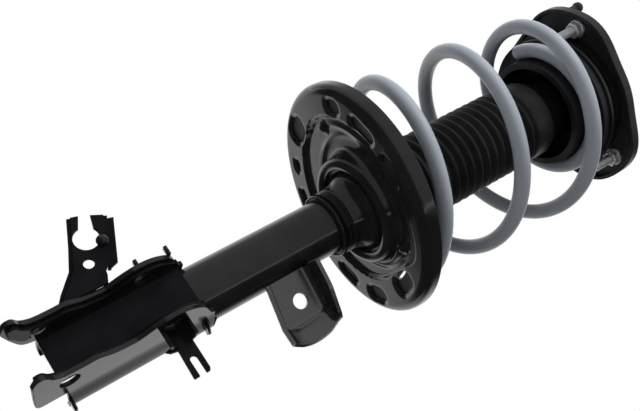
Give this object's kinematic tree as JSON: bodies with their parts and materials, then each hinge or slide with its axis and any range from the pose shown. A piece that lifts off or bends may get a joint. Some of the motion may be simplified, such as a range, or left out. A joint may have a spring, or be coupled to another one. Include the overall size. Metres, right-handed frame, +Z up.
{
  "type": "suspension strut assembly",
  "caption": "Front suspension strut: damper tube and piston rod, offset coil spring, ribbed dust boot, bearing top mount, pressed spring seat and clevis knuckle bracket.",
  "frame": {"origin": "centre of the top mount's seating face, on the piston rod's axis", "axes": "+Z up along the piston rod, out of the top mount; the knuckle bracket opens towards +X, turned 20 degrees towards -Y; the stabiliser link bracket faces +X on the +Y side"},
  "size_m": [0.2033, 0.2031, 0.578],
  "materials": {
    "black_paint": "gloss e-coat",
    "coil_coat": "satin grey coating",
    "zinc": "bright zinc",
    "steel": "plain steel",
    "chrome": "hard chrome",
    "rubber": "matt",
    "boot_rubber": "matt, ribbed",
    "black_plastic": "moulded, satin",
    "cage_plastic": "moulded, natural",
    "foam": "microcellular foam",
    "ptfe": "bearing liner"
  },
  "bodies": {
    "mount": {"mount_plate": "black_paint", "mount_dome": "black_paint", "mount_rubber": "rubber", "mount_sleeve": "steel", "weld_nuts": "zinc", "mount_bolts": "zinc", "locating_pin": "black_paint", "bearing_upper_race": "black_plastic", "bump_stop_cup": "steel", "rod_washer": "zinc", "rod_nut": "zinc", "piston_rod": "chrome", "rebound_buffer": "rubber", "piston": "steel", "piston_band": "ptfe", "piston_nut": "steel", "bump_stop": "foam"},
    "upper_seat": {"bearing_lower_race": "black_plastic", "bearing_balls": "chrome", "bearing_cage": "cage_plastic", "upper_spring_seat": "black_plastic", "upper_seat_rubber": "rubber", "coil_spring": "coil_coat", "dust_boot": "boot_rubber"},
    "strut": {"strut_tube": "black_paint", "pressure_tube": "steel", "base_valve": "steel", "rod_guide": "steel", "rod_bush": "ptfe", "rod_seal": "rubber", "tube_cap": "black_paint", "tube_end": "black_paint", "lower_spring_seat": "black_paint", "seat_collar": "black_paint", "seat_gusset": "black_paint", "lower_seat_rubber": "rubber", "knuckle_bracket": "black_paint", "bracket_channel": "black_paint", "link_bracket": "black_paint", "hose_bracket": "black_paint", "hose_rivet": "black_paint", "sensor_clip": "black_paint", "bracket_welds": "black_paint"}
  },
  "joints": [
    {"name": "steer", "type": "hinge", "parent": "mount", "child": "upper_seat", "pos_m": [0, 0, -0.014], "axis": [0, 0, 1], "range_deg": [-40, 40]},
    {"name": "compress", "type": "slide", "parent": "upper_seat", "child": "strut", "axis": [0, 0, 1], "range_m": [0, 0.12], "stiffness_N_per_m": 20000, "springref_m": -0.06, "deforming": ["coil_spring", "dust_boot"]}
  ]
}
